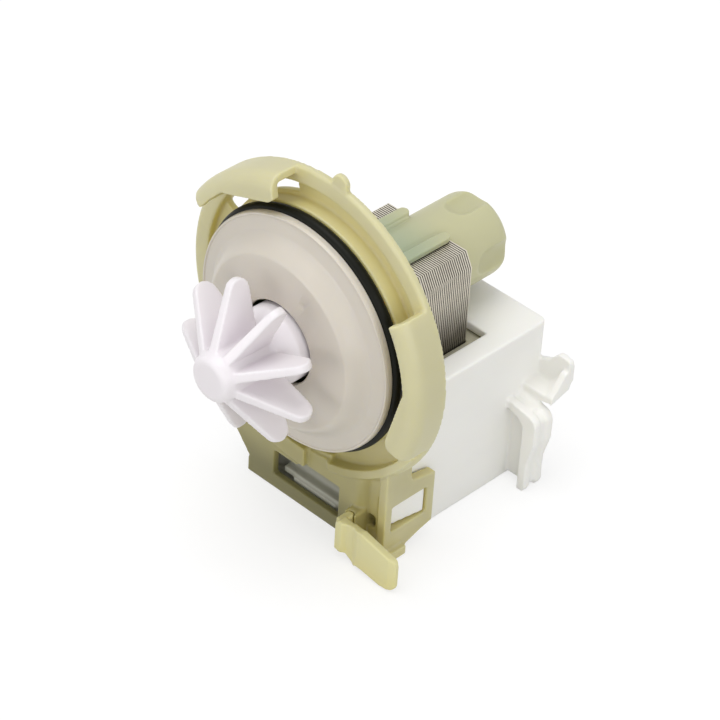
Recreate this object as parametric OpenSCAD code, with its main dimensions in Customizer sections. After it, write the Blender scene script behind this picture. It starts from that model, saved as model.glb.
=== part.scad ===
// Synchronous drain pump of a dishwasher: bayonet flange with its bracket, impeller,
// permanent-magnet rotor in a sealed can, laminated U core and an enclosed coil block.
// Millimetres. The shaft lies along Y with the impeller towards -Y; +Z is up.
// The origin is on the shaft's axis, in the plane of the cover's front rim.

/* [Wet end cover] */
// How much smaller the cover's rim is than the spigot, in radius
cover_back = 1; // [0.8:0.1:1.4]
// Thickness of the rim, along the shaft
cover_rim_t = 1.2; // [1:0.1:1.4]
// Wall of the cover
cover_wall = 1.6; // [1.2:0.1:1.8]
// How far the raised middle stands in front of the rim
plateau_h = 5.6; // [4.5:0.1:6]
// Width of the cover's flat rim, up to the step
cover_rim_w = 3.6; // [3:0.1:4]
// Width of the step between the rim and the raised middle
step_w = 4.9; // [4.4:0.1:6]
// Radius of the hole that the impeller's hub turns in
cover_hole_r = 10.6; // [10.2:0.1:11.5]

/* [Seal] */
// Section radius of the seal ring
seal_section_r = 1.5; // [1.3:0.05:1.6]

/* [Bayonet flange] */
// Outer radius of the spigot behind the seal
spigot_r = 31; // [30:0.1:32]
// Wall of the spigot
spigot_wall = 3.5; // [3:0.1:3.6]
// Place of the annular channel's floor, along the shaft
channel_floor_y = 8.3; // [7.8:0.1:8.6]
// Thickness of the channel's floor
channel_floor_t = 1.8; // [1.4:0.1:2.2]
// Width of the annular channel, between the spigot and the rim ring
channel_w = 4.6; // [4.4:0.1:5]
// Width of the rim ring and of the claws
rim_w = 4.5; // [4:0.1:5.4]
// Place of the rim ring's front face
rim_front_y = 6.2; // [6:0.1:6.6]
// Thickness of the rim ring
rim_t = 1.8; // [1.4:0.1:2]
// Place of the front face of the two tall claws
claw_front_y = -2; // [-2.6:0.1:-1.4]
// Thickness of a claw's outer wall
claw_wall = 2.1; // [1.8:0.1:2.6]
// Thickness of a claw's front plate and lip
claw_lip_t = 2.2; // [1.8:0.1:2.6]
// How far the tip of a lip reaches in from the rim ring
claw_lip_reach = 2.1; // [1.6:0.1:2.6]
// Rounding of a claw's outer front edge
claw_round_r = 3.6; // [2:0.1:3.8]
// Angle that the right claw spans
right_claw_span = 56; // [50:1:60]
// Angle that the upper claw spans
upper_claw_span = 45.5; // [42:0.5:60]
// Angle at the lower end of the right claw, from +X towards +Z
right_claw_angle = -23; // [-25:1:-20]

/* [Rotor can] */
// Outer radius of the can
can_r = 10.8; // [10.6:0.1:11.2]
// Wall of the can
can_wall = 1.2; // [1:0.1:1.3]
// Place of the can's rear end
can_end_y = 62; // [61:0.5:64]
// Thickness of the flange that holds the can in the spigot
can_flange_t = 1.8; // [1.4:0.1:2.2]
// Width of a rail beside the can
rail_w = 2.9; // [2.4:0.1:3.2]
// Distance of a rail's outer side from the middle
rail_out_x = 8.1; // [7.8:0.1:8.6]
// Height of a rail
rail_h = 1.5; // [1.2:0.1:2]
// Radius of the pocket for the rear bearing's seat
pocket_r = 6.8; // [6.6:0.1:7]

/* [Impeller] */
// Radius of the circle through the blade tips
impeller_r = 20.4; // [18:0.1:21]
// Number of blades
blade_count = 9; // [6:1:10]
// Thickness of a blade
blade_t = 2.2; // [1.6:0.1:2.6]
// Place of the blades' rear edges, along the shaft
blade_rear_y = -11.7; // [-12.5:0.1:-11]
// Rounding of a blade's tip
blade_tip_r = 3; // [2:0.1:4]
// Place of the nose
nose_y = -27; // [-29:0.1:-26]
// Radius of the nose
nose_r = 6.3; // [5.5:0.1:7]
// Radius of the hub where it enters the cover
hub_r = 9.7; // [9.2:0.1:9.8]
// Angle of the first blade, from +X towards +Z
first_blade_angle = 24.1; // [0:0.1:39]

/* [Rotor] */
// Radius of the shaft
shaft_r = 2; // [1.8:0.1:2.2]
// Running clearance on the shaft, each side
run_clear = 0.05; // [0.03:0.01:0.08]
// Outer radius of the magnet
magnet_r = 8.8; // [8.4:0.1:9]
// Length of the magnet
magnet_len = 26.6; // [25:0.1:27]
// Radius of the plain bearings
bearing_r = 5; // [4.8:0.1:5.2]
// Length of the plain bearings
bearing_len = 5; // [4.5:0.1:5.4]
// Angle that the driving dog spans, and the lug that it drives
dog_span = 70; // [50:1:90]

/* [Stator] */
// Place of the first lamination
core_front_y = 18.3; // [18:0.1:19]
// Depth of the lamination stack
core_depth = 24.7; // [24:0.1:25.5]
// Clearance between the can and the poles
pole_clear = 0.3; // [0.2:0.05:0.5]
// Half of the core's width
core_half_w = 14.7; // [14.2:0.1:15]
// Distance of a leg's inner side from the middle
leg_in_x = 6.7; // [6.4:0.1:7]
// Height of the core's flat top above the shaft
core_top_z = 9.5; // [9.3:0.05:9.6]
// Height of the yoke that joins the legs
yoke_h = 8.4; // [7.5:0.1:9]
// Height of a lug of the poles under the can
pole_foot_z = -12.8; // [-13:0.1:-12.4]
// Build of a winding around its tube
winding_t = 3.6; // [3:0.1:3.7]
// Thickness of a bobbin's tube
bobbin_wall = 1; // [0.8:0.1:1.1]
// Thickness of a bobbin's flanges
bobbin_flange_t = 1.2; // [1:0.1:1.4]

/* [Coil block] */
// Place of the block's front face
block_front_y = 11; // [10.8:0.1:11.2]
// Place of the block's rear face
block_rear_y = 61.5; // [61:0.1:63]
// Room between the right coil and the block's wall
right_room = 2.45; // [2.25:0.05:2.55]
// Room between the left coil and the block's wall
left_room = 0.35; // [0.35:0.05:0.75]
// Height of the block's top
block_top_z = -13.2; // [-13.4:0.1:-12.9]
// Height of the plane that the pump stands on
floor_z = -55; // [-56:0.1:-54.6]
// Wall of the block
block_wall = 1.7; // [1.4:0.1:1.7]
// Thickness of the block's top
block_roof_t = 2.3; // [1.8:0.1:2.4]
// Rounding of the block's upright edges
block_round_r = 2; // [1:0.1:3]
// Thickness of the plate that closes the block
base_t = 1.8; // [1.4:0.1:2]
// Gap between a leg and its window in the block's top
leg_window_gap = 3.4; // [2.6:0.1:3.6]
// Width of a terminal tab
tab_w = 6.3; // [4.8:0.1:6.3]
// Thickness of a terminal tab
tab_t = 0.8; // [0.5:0.1:1]

/* [Bracket and latch] */
// Place of the bracket's front face
bracket_front_y = 5.4; // [5:0.1:5.8]
// Thickness of the bracket's front plate
bracket_t = 2; // [1.6:0.1:2.4]
// Thickness of the side arm
arm_t = 2.6; // [2.4:0.1:3]
// Length of the latch arm beyond its root
latch_len = 20.4; // [18:0.1:21]
// Thickness of the latch arm
latch_t = 2.1; // [1.8:0.1:2.4]
// Place of the latch arm's front face
latch_front_y = -1.5; // [-2:0.1:-1]
// Clearance around the latch's flexing root
latch_clear = 0.2; // [0.15:0.01:0.3]

/* [Hidden] */
$fn = 96;

// Small shared clearances and overlaps
fit = 0.02;
seat = 0.3;
past = 1;
inset = 0.3;

// Radii that follow the spigot
spigot_bore_r = spigot_r - spigot_wall;
cover_r = spigot_r - cover_back;
step_r = cover_r - cover_rim_w;
plateau_r = step_r - step_w;
rim_in_r = spigot_r + channel_w;
rim_out_r = rim_in_r + rim_w;
claw_lip_r = rim_in_r - claw_lip_reach;

// Stack of pieces along the shaft
seal_front_y = cover_rim_t + fit;
spigot_front_y = seal_front_y + 2 * seal_section_r + fit;
seal_r = spigot_r + 0.15 - seal_section_r;
lip_y = 9.4;
lip_t = 1.3;
lip_in_r = 20;
flange_front_y = lip_y - can_flange_t;
carrier_flange_t = 1.2;
carrier_front_y = flange_front_y - carrier_flange_t;
front_bearing_y = carrier_front_y + 1.2;
carrier_end_y = front_bearing_y + bearing_len + 1;
washer_t = 0.6;
sleeve_front_y = carrier_end_y + washer_t + 2 * seat;
sleeve_end_t = 1.2;
magnet_y = sleeve_front_y + sleeve_end_t;
sleeve_rear_y = magnet_y + magnet_len + sleeve_end_t;
rear_bearing_y = sleeve_rear_y + washer_t + 2 * seat;
pocket_y = rear_bearing_y - seat;
seat_end_y = rear_bearing_y + bearing_len + 1;
shaft_front_y = nose_y + 6;
shaft_rear_y = rear_bearing_y + bearing_len + 0.5;

// Stator and block
core_rear_y = core_front_y + core_depth;
pole_r = can_r + pole_clear;
base_top_z = floor_z + base_t;
yoke_z = base_top_z + seat;
yoke_top_z = yoke_z + yoke_h;
roof_z = block_top_z - block_roof_t;
bobbin_low_z = yoke_top_z + seat;
bobbin_top_z = roof_z - seat;
leg_fit = 0.25;
coil_out = leg_fit + bobbin_wall + winding_t + 0.4;
block_right_x = core_half_w + coil_out + right_room + block_wall;
block_left_x = -core_half_w - coil_out - left_room - block_wall;
inner_front_y = block_front_y + block_wall;
inner_rear_y = block_rear_y - block_wall;
tab_gap = 8;
tab_z = -30;
socket_depth = 8;
socket_half_w = 9;
socket_half_h = 6;
socket_floor_y = block_rear_y - socket_depth;
socket_wall = 1.2;
tab_rear_y = block_rear_y - 0.8;
tab_front_y = socket_floor_y - 4;
fuse_r = 1.7;
fuse_len = 12;
fuse_x = 13;
lead_r = 0.5;

// Ring and claws
rim_edge = 0.5;
channel_wall = 1.8;
spigot_back_r = spigot_r - 0.8;
upper_claw_angle = right_claw_angle + 124.5;
claw_root = 0.9;
claw_stop_back = 0.5;
claw_lip_span = 28;
claw_tip_angle = 3;
claw_window_from = 4;
claw_window_to = 52;
claw_window_edge = 1;
low_claw_from = 252;
low_claw_to = 272;
low_claw_front_y = 3.8;
low_claw_out = 0.6;
low_channel_from = 283;
low_channel_to = 329;
low_channel_r = rim_in_r + 1.5;
low_band_t = 2.2;
low_band_front_y = 4.8;
ring_tab_angle = 82.6;
ring_tab_h = 3.3;

// Bracket
bracket_top_z = -26;
wing_x = -18.6;
wing_z = -50.6;
column_x = 20.2;
column_r = 3;
window_left_x = -10;
window_right_x = 11.8;
window_low_z = -51;
window_top_z = -43.75;
window_step = 2;
window_step_x = -2.5;
recess_back_y = 7.2;
recess_back_t = 1.4;
recess_hole_z = -48.9;
recess_hole_h = 3.6;
tie_rear_y = 9.6;
sill_h = 3.4;
arm_in_x = block_right_x + seat;
arm_out_x = arm_in_x + arm_t;
arm_rear_y = 22;
arm_top_z = -24;
arm_window_front_y = 7.7;
arm_window_rear_y = 19.4;
arm_window_low_z = -47.3;
arm_window_top_z = -39.8;
tongue_t = 0.8;
tongue_low_z = arm_window_low_z - 2;
foot_w = 1.6;
foot_h = 2.6;

// Latch
latch_x = 18.1;
latch_bead_r = 1.1;
latch_hinge_y = 2.6;
latch_low_z = floor_z + 0.2;
latch_root_z = -52.6;
latch_root_h = 8.5;
latch_knob_w = 1.5;
latch_valley_w = 2.1;
latch_valley_d = 0.8;
latch_slope = 1;
latch_knob_t = 0.4;
stub_half_w = 1.7;

// Impeller, dog and rotor body
dog_r = 6;
dog_hub_r = 3.4;
cavity_r = 6.4;
cavity_front_y = -9;
hub_shoulder_y = -7.4;
hub_rear_y = 2;
cap_t = 1.6;
lug_in_r = dog_hub_r + seat;
dog_front_y = cavity_front_y + 0.4;
dog_rear_y = hub_rear_y - cap_t - seat;
damper_span = 8;
sleeve_r = 3.4;

// Windings
winding_out = leg_fit + bobbin_wall + winding_t;
winding_rear_y = core_rear_y + winding_out;
fuse_y = winding_rear_y + fuse_r + seat / 2;
lead_y = winding_rear_y + lead_r + fit;

// Clip and cable pocket on the block's right side
clip_front_y = 49;
clip_rear_y = 55.5;
clip_in_x = block_right_x + 5.5;
clip_out_x = clip_in_x + 4.2;
clip_low_x = clip_in_x + 2.3;
clip_top_z = -30.6;
clip_bend_r = 3;
tongue_top_z = -50.4;
barb_h = 2.5;
hook_front_y = 54.2;
hook_rear_y = 61.6;
hook_t = 1.8;
hook_out_x = block_right_x + 9.5;
hook_floor_z = -28.4;
hook_wall_z = -22.9;
hook_top_z = -19.9;
horn_r = 1.6;

// Outline of a round stretch: points on a circle between two angles
function arc_points(cx, cy, r, from, to, steps) =
    [for (i = [0:steps]) let (a = from + (to - from) * i / steps) [cx + r * cos(a), cy + r * sin(a)]];

// A point at a radius and an angle from +X towards +Z
function polar(r, a) = [r * cos(a), r * sin(a)];

// Revolves a profile drawn as (radius, place along the shaft)
module revolved() {
    rotate([-90, 0, 0]) rotate_extrude() children();
}

// The same between two angles, from +X towards +Z
module revolved_sector(from, to) {
    rotate([0, -to, 0]) rotate([-90, 0, 0]) rotate_extrude(angle = to - from) children();
}

// Extrudes an outline drawn as (x, z) between two places along the shaft
module along_y(from, to) {
    translate([0, to, 0]) rotate([90, 0, 0]) linear_extrude(to - from) children();
}

module box(low, high) {
    translate(low) cube(high - low);
}

module tube(in_r, out_r, from, to) {
    revolved() translate([in_r, from]) square([out_r - in_r, to - from]);
}

module rod(r, from, to) {
    tube(0, r, from, to);
}

// A round bar between two points on a line parallel to an axis
module lead(start, axis, length) {
    translate(start)
        rotate(axis == "x" ? [0, 90, 0] : axis == "y" ? [-90, 0, 0] : [0, 0, 0])
            cylinder(r = lead_r, h = length, $fn = 24);
}

// Rectangle with rounded corners, drawn from its lower left corner
module rounded_rectangle(low, high, r) {
    translate([low[0] + r, low[1]]) square([high[0] - low[0] - 2 * r, high[1] - low[1]]);
    translate([low[0], low[1] + r]) square([high[0] - low[0], high[1] - low[1] - 2 * r]);
    for (x = [low[0] + r, high[0] - r], y = [low[1] + r, high[1] - r])
        translate([x, y]) circle(r = r);
}

// The ring, its spigot and the lip that carries the can
module flange_ring() {
    revolved() polygon([
        [lip_in_r, lip_y], [spigot_bore_r, lip_y], [spigot_bore_r, spigot_front_y],
        [spigot_r, spigot_front_y], [spigot_r, channel_floor_y], [rim_in_r, channel_floor_y],
        [rim_in_r, rim_front_y], [rim_out_r - rim_edge, rim_front_y],
        [rim_out_r, rim_front_y + rim_edge], [rim_out_r, rim_front_y + rim_t],
        [rim_in_r + channel_wall, rim_front_y + rim_t],
        [rim_in_r + channel_wall, channel_floor_y + channel_floor_t],
        [spigot_back_r, channel_floor_y + channel_floor_t], [spigot_back_r, lip_y + lip_t],
        [lip_in_r, lip_y + lip_t]
    ]);
}

// One tall claw: an outer wall with a front plate, whose lip hooks inwards over the channel at
// the claw's start, and a stop behind the plate at the claw's other end
module claw(start_angle, span) {
    kink_angle = start_angle + claw_lip_span;
    in_r = rim_in_r + inset;
    wall_in_r = rim_out_r - claw_wall;
    plate_rear_y = claw_front_y + claw_lip_t;
    round_y = claw_front_y + claw_round_r;
    revolved_sector(start_angle, start_angle + span)
        polygon(concat(
            [[wall_in_r, rim_front_y + claw_root], [wall_in_r, plate_rear_y], [in_r, plate_rear_y],
             [in_r, claw_front_y]],
            arc_points(rim_out_r - claw_round_r, round_y, claw_round_r, -90, 0, 6),
            [[rim_out_r, rim_front_y + claw_root]]
        ));
    revolved_sector(kink_angle, start_angle + span - claw_stop_back)
        translate([in_r + inset, plate_rear_y - past])
            square([wall_in_r - in_r, rim_front_y + claw_root - inset - plate_rear_y + past]);
    along_y(claw_front_y, claw_front_y + claw_lip_t)
        polygon([
            polar(rim_in_r, kink_angle), polar(claw_lip_r, start_angle + claw_tip_angle),
            polar(rim_in_r - past, start_angle), polar(rim_in_r + past, start_angle),
            polar(rim_in_r + past, start_angle + claw_lip_span / 2), polar(rim_in_r + past, kink_angle)
        ]);
}

// The opening in the channel's floor behind a claw
module claw_window(start_angle) {
    revolved_sector(start_angle + claw_window_from, start_angle + claw_window_to)
        translate([spigot_r + claw_window_edge, channel_floor_y - past])
            square([rim_in_r - inset - spigot_r - claw_window_edge, channel_floor_t + 2 * past]);
}

// The third claw, low and short
module low_claw() {
    revolved_sector(low_claw_from, low_claw_to)
        translate([rim_in_r + inset, low_claw_front_y])
            square([rim_out_r + low_claw_out - rim_in_r, rim_front_y + past - low_claw_front_y]);
}

// Stretch of the channel below, where it is wider, and the thin band round it
module low_channel() {
    revolved_sector(low_channel_from, low_channel_to)
        translate([spigot_r + past, low_band_front_y - past])
            square([low_channel_r - spigot_r - past, channel_floor_y - inset - low_band_front_y + past]);
}

module low_band() {
    revolved_sector(low_channel_from - 1, low_channel_to + 1)
        translate([low_channel_r - inset, low_band_front_y])
            square([low_band_t + inset, rim_front_y + past - low_band_front_y]);
}

// Front plate of the bracket, with its wing up to the ring
module bracket_plate() {
    along_y(bracket_front_y, bracket_front_y + bracket_t)
        difference() {
            polygon([
                [-31.5, bracket_top_z], [-31, -35.5], [wing_x + 0.5, wing_z], [wing_x, floor_z],
                [column_x - column_r, floor_z], [column_x - column_r, bracket_top_z]
            ]);
            circle(r = rim_in_r + past);
        }
    // Side wall behind the left edge of the plate
    box([wing_x, bracket_front_y, floor_z], [wing_x + bracket_t, block_front_y - fit, wing_z]);
}

module bracket_window() {
    along_y(bracket_front_y - past, bracket_front_y + bracket_t + past)
        polygon([
            [window_left_x, window_low_z], [window_right_x, window_low_z],
            [window_right_x, window_top_z + window_step],
            [window_step_x + window_step, window_top_z + window_step],
            [window_step_x, window_top_z], [window_left_x, window_top_z]
        ]);
}

// Rounded column between the window and the recess, and the wall at the recess's back
module bracket_column() {
    difference() {
        union() {
            translate([0, 0, floor_z]) linear_extrude(bracket_top_z - floor_z)
                polygon(concat(
                    [[window_right_x, block_front_y - fit], [window_right_x, bracket_front_y]],
                    arc_points(column_x - column_r, bracket_front_y + column_r, column_r, -90, 0, 6),
                    [[column_x, block_front_y - fit]]
                ));
            box([column_x - past, recess_back_y, floor_z],
                [arm_out_x - past, recess_back_y + recess_back_t, bracket_top_z]);
            // Sill under the recess
            box([column_x - column_r, bracket_front_y + past, floor_z],
                [arm_out_x - past, recess_back_y + past, floor_z + sill_h]);
        }
        // Hole in the recess's back wall
        box([column_x - 0.4, recess_back_y - past, recess_hole_z],
            [column_x + 2, recess_back_y + recess_back_t + past, recess_hole_z + recess_hole_h]);
        // Notch that the side tongue passes through
        box([block_right_x - tongue_t - seat, recess_back_y - past, tongue_low_z - seat],
            [arm_out_x, recess_back_y + recess_back_t + past, arm_window_top_z + past + seat]);
    }
}

// Side arm that wraps the front corner of the coil block
module side_arm() {
    difference() {
        translate([arm_in_x, 0, 0]) rotate([90, 0, 90]) linear_extrude(arm_out_x - arm_in_x)
            polygon([
                [bracket_front_y, floor_z], [13, floor_z], [13.2, -53.8], [17.6, -52.3],
                [arm_rear_y, -51.2], [arm_rear_y, -36.4], [14.4, -35], [13.7, -33.5],
                [13.7, arm_top_z], [bracket_front_y, arm_top_z]
            ]);
        box([arm_in_x - past, arm_window_front_y, arm_window_low_z],
            [arm_out_x + past, arm_window_rear_y, arm_window_top_z]);
    }
    // Foot at the lower front corner
    box([arm_in_x, bracket_front_y, floor_z],
        [arm_out_x + foot_w, block_front_y + foot_w / 2, floor_z + foot_h]);
    // Upper wall that ties the arm to the ring
    box([column_x - past, rim_front_y + rim_t - fit, arm_top_z - 9],
        [arm_out_x, tie_rear_y, arm_top_z]);
}

// Fixed half of the latch's flexing root
module latch_stub() {
    difference() {
        box([latch_x - stub_half_w, latch_hinge_y, latch_root_z - latch_clear],
            [latch_x + stub_half_w, bracket_front_y + past, latch_root_z + latch_root_h + latch_clear]);
        translate([latch_x, latch_hinge_y, latch_root_z - past])
            cylinder(r = latch_bead_r + latch_clear, h = latch_root_h + 2 * past);
    }
}

// Small rounded tab on top of the ring
module ring_tab() {
    tab_r = 2.3;
    along_y(rim_front_y + 0.2, rim_front_y + rim_t - 0.1)
        rotate(ring_tab_angle) {
            translate([rim_out_r - past, -tab_r]) square([past + ring_tab_h - tab_r, 2 * tab_r]);
            translate([rim_out_r + ring_tab_h - tab_r, 0]) circle(r = tab_r);
        }
}

module flange_housing() {
    color("#d8d4ac")
    difference() {
        union() {
            flange_ring();
            claw(right_claw_angle, right_claw_span);
            claw(upper_claw_angle, upper_claw_span);
            low_claw();
            low_band();
            ring_tab();
            bracket_plate();
            difference() {
                union() {
                    bracket_column();
                    side_arm();
                }
                // Room for the collar in the channel
                rod(rim_in_r + inset, bracket_front_y - past, channel_floor_y + inset);
            }
            latch_stub();
        }
        claw_window(right_claw_angle);
        claw_window(upper_claw_angle);
        bracket_window();
        low_channel();
    }
}

// Outline of the latch seen along the shaft
module latch_outline() {
    tip_x = latch_x - stub_half_w + latch_len;
    tip_r = 2;
    tip_low_z = latch_low_z + 0.3;
    tip_top_z = -45.2;
    polygon([
        [latch_x - latch_bead_r, -52.6], [20.3, -52.9], [23.3, latch_low_z], [24.6, -54],
        [26.3, -53.9], [tip_x - 2.2 * tip_r, latch_low_z], [tip_x - tip_r, tip_low_z],
        [tip_x - tip_r, tip_top_z], [25.9, -43.2], [20.5, -44], [18.6, -43.7],
        [latch_x - latch_bead_r, -45.5]
    ]);
    for (z = [tip_low_z + tip_r, tip_top_z - tip_r])
        translate([tip_x - tip_r, z]) circle(r = tip_r);
    translate([tip_x - tip_r, tip_low_z + tip_r]) square([tip_r, tip_top_z - tip_low_z - 2 * tip_r]);
}

// Outline of the latch seen from above: a knob, a valley and a blade
module latch_plan() {
    tip_x = latch_x - stub_half_w + latch_len;
    front = latch_front_y;
    rear = latch_front_y + latch_t;
    valley_y = front + latch_valley_d;
    knob_x = latch_x + latch_knob_w;
    valley_x = knob_x + latch_slope;
    blade_x = valley_x + latch_valley_w + 1.8 * latch_slope;
    polygon([
        [latch_x - latch_bead_r, rear + latch_knob_t], [latch_x - latch_bead_r, valley_y],
        [latch_x - latch_bead_r / 3, front], [knob_x, front], [valley_x, valley_y],
        [valley_x + latch_valley_w, valley_y + 0.1], [blade_x, front + 0.2],
        [blade_x + 1.6 * latch_slope, front], [tip_x - 2 * latch_slope, front + 0.1],
        [tip_x, valley_y + 0.1], [tip_x, rear - 0.2], [tip_x - latch_slope, rear], [blade_x, rear],
        [valley_x + latch_valley_w, rear + latch_knob_t]
    ]);
}

// Latch that locks the bayonet: a paddle on a flexing root
module release_latch() {
    color("#d6cf9e") {
        intersection() {
            along_y(latch_front_y - past, latch_hinge_y) latch_outline();
            translate([0, 0, latch_low_z - past]) linear_extrude(bracket_top_z - latch_low_z) latch_plan();
        }
        box([latch_x - latch_bead_r, latch_front_y + past, latch_root_z],
            [latch_x + latch_bead_r, latch_hinge_y, latch_root_z + latch_root_h]);
        translate([latch_x, latch_hinge_y, latch_root_z]) cylinder(r = latch_bead_r, h = latch_root_h);
    }
}

// Cover that closes the wet end: a flat middle, a soft step and a thin rim
module wet_end_cover() {
    steps = 10;
    slope = 1.3;
    skirt_out_r = spigot_bore_r - 0.1;
    skirt_in_r = skirt_out_r - 1.5;
    groove_r = seal_r - seal_section_r - 0.05;
    groove_end_y = spigot_front_y - fit;
    front = [for (i = [0:steps]) let (t = i / steps, s = t * t * (3 - 2 * t))
        [step_r + (plateau_r - step_r) * t, -slope - (plateau_h - slope) * s]];
    back = [for (i = [0:steps]) let (t = 1 - i / steps, s = t * t * (3 - 2 * t))
        [step_r - cover_wall + (plateau_r - step_r) * t, -slope + cover_wall - (plateau_h - slope) * s]];
    color("#e4dedb")
    revolved() polygon(concat(
        [[cover_r, cover_rim_t], [cover_r, 0], [cover_r - 0.4, -0.4]],
        front,
        [[cover_hole_r, -plateau_h], [cover_hole_r, cover_wall - plateau_h]],
        back,
        [[skirt_in_r, past], [skirt_in_r, flange_front_y - fit], [skirt_out_r, flange_front_y - fit],
         [skirt_out_r, groove_end_y], [groove_r, groove_end_y], [groove_r, cover_rim_t]]
    ));
}

module seal_ring() {
    color("#1c1c1c")
    revolved()
        translate([seal_r, seal_front_y + seal_section_r])
            circle(r = seal_section_r);
}

// Rail on the can: a flat bar with a round end over the core, and its root
module rail() {
    low_z = core_top_z + seat;
    in_x = rail_out_x - rail_w;
    from_y = lip_y - past / 2;
    end_y = core_rear_y - rail_w / 2;
    translate([in_x, from_y, low_z]) cube([rail_w, end_y - from_y, rail_h]);
    translate([in_x + rail_w / 2, end_y, low_z]) cylinder(r = rail_w / 2, h = rail_h);
    box([in_x - 0.7, from_y + inset, low_z - 1], [in_x + 0.2, end_y, low_z + rail_h / 2]);
}

// Can that parts the rotor from the dry stator, with its flange and the two rails
module rotor_can() {
    in_r = can_r - can_wall;
    end_round = 3.5;
    flute_r = 5;
    flute_depth = 2;
    flute_y = can_end_y - 8;
    flute_x = can_r - flute_depth + flute_r;
    color("#cfd1b4")
    difference() {
        union() {
            revolved() polygon(concat(
                [[0, flange_front_y], [spigot_bore_r - 0.2, flange_front_y], [spigot_bore_r - 0.2, lip_y],
                 [can_r, lip_y]],
                arc_points(can_r - end_round, can_end_y - end_round, end_round, 0, 90, 6),
                [[0, can_end_y]]
            ));
            for (side = [0, 1])
                mirror([side, 0, 0]) rail();
        }
        rod(in_r, flange_front_y - past, pocket_y);
        rod(pocket_r, pocket_y - past, seat_end_y + seat);
        for (a = [0:90:270])
            rotate([0, -a, 0]) {
                translate([flute_x, flute_y, 0])
                    rotate([-90, 0, 0]) cylinder(r = flute_r, h = can_end_y - flute_y + past);
                translate([flute_x, flute_y, 0]) sphere(r = flute_r);
            }
    }
}

// Impeller: blades on a tapered hub, hollow behind for the driving dog
module impeller() {
    color("#f2eff2")
    difference() {
        union() {
            revolved() polygon([
                [0, nose_y], [nose_r - 2.3, nose_y], [nose_r - 0.7, nose_y + 0.7],
                [nose_r, nose_y + 2.3], [nose_r, blade_rear_y - 0.8], [hub_r - 1.3, hub_shoulder_y - 2],
                [hub_r, hub_shoulder_y], [hub_r, hub_rear_y], [0, hub_rear_y]
            ]);
            for (i = [0:blade_count - 1])
                rotate([0, -first_blade_angle - i * 360 / blade_count, 0])
                    rotate([-90, 0, 0]) blade_upright();
        }
        rod(shaft_r + run_clear, shaft_front_y - seat, cavity_front_y + past);
        difference() {
            rod(cavity_r, cavity_front_y, hub_rear_y + past);
            // Lug that the dog drives
            revolved_sector(-dog_span / 2, dog_span / 2)
                translate([lug_in_r, cavity_front_y - past])
                    square([cavity_r - lug_in_r + past, hub_rear_y - cap_t - cavity_front_y + past]);
        }
    }
}

// A blade in the plane through the shaft, with the shaft along the drawing's Z
module blade_upright() {
    tip_x = impeller_r - blade_tip_r;
    tip_y = blade_rear_y - blade_tip_r;
    root_y = nose_y + 2.2;
    rotate([90, 0, 0])
        linear_extrude(blade_t, center = true)
            polygon(concat(
                [[nose_r - 2.5, root_y], [nose_r, root_y + 0.4]],
                arc_points(tip_x, tip_y, blade_tip_r, -60, 90, 10),
                [[nose_r - 2.5, blade_rear_y]]
            ));
}

// Cap pressed into the rear of the impeller, which keeps it on the dog
module impeller_rear_cap() {
    color("#e9e6e6")
    tube(dog_hub_r + 0.2, cavity_r - fit, hub_rear_y - cap_t + fit, hub_rear_y);
}

module rotor_shaft() {
    color("#b9bcc0")
    rod(shaft_r, shaft_front_y, shaft_rear_y);
}

module rotor_magnet() {
    color("#3a3a3c")
    tube(sleeve_r, magnet_r, magnet_y, magnet_y + magnet_len);
}

// Plastic body that grips the magnet on the shaft
module rotor_sleeve() {
    color("#55585a")
    revolved() polygon([
        [shaft_r + fit, sleeve_front_y], [magnet_r - 1, sleeve_front_y], [magnet_r - 1, magnet_y - fit],
        [sleeve_r - fit, magnet_y - fit], [sleeve_r - fit, magnet_y + magnet_len + fit],
        [magnet_r - 1, magnet_y + magnet_len + fit], [magnet_r - 1, sleeve_rear_y],
        [shaft_r + fit, sleeve_rear_y]
    ]);
}

// Dog on the shaft that drives the impeller after part of a free turn
module drive_dog() {
    color("#6b6f72")
    union() {
        tube(shaft_r + fit, dog_hub_r, dog_front_y, dog_rear_y);
        revolved_sector(180 - dog_span / 2, 180 + dog_span / 2)
            translate([(shaft_r + dog_hub_r) / 2, dog_front_y + inset])
                square([dog_r - (shaft_r + dog_hub_r) / 2, dog_rear_y - dog_front_y - 2 * inset]);
    }
}

// Rubber pads on both flanks of the dog
module drive_damper() {
    color("#2a2a2a")
    for (from = [180 - dog_span / 2 - damper_span, 180 + dog_span / 2])
        revolved_sector(from + 0.1, from + damper_span - 0.1)
            translate([dog_hub_r + fit, dog_front_y])
                square([dog_r - dog_hub_r - fit, dog_rear_y - dog_front_y]);
}

module thrust_washers() {
    color("#c8b48a") {
        tube(shaft_r + fit, bearing_r - 0.6, sleeve_front_y - fit - washer_t, sleeve_front_y - fit);
        tube(shaft_r + fit, bearing_r - 0.6, sleeve_rear_y + fit, sleeve_rear_y + fit + washer_t);
    }
}

module front_bearing() {
    color("#4a4a4e")
    tube(shaft_r + run_clear, bearing_r, front_bearing_y, front_bearing_y + bearing_len);
}

// Carrier plugged into the can's mouth
module front_bearing_carrier() {
    back_r = shaft_r + 1.4;
    collar_r = can_r + 2.2;
    color("#dedcd4")
    revolved() polygon([
        [bearing_r + fit, carrier_front_y], [collar_r, carrier_front_y], [collar_r, flange_front_y - fit],
        [can_r - can_wall - 0.1, flange_front_y - fit], [can_r - can_wall - 0.1, carrier_end_y],
        [back_r, carrier_end_y], [back_r, front_bearing_y + bearing_len + fit],
        [bearing_r + fit, front_bearing_y + bearing_len + fit]
    ]);
}

module rear_bearing() {
    color("#4a4a4e")
    tube(shaft_r + run_clear, bearing_r, rear_bearing_y, rear_bearing_y + bearing_len);
}

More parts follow.
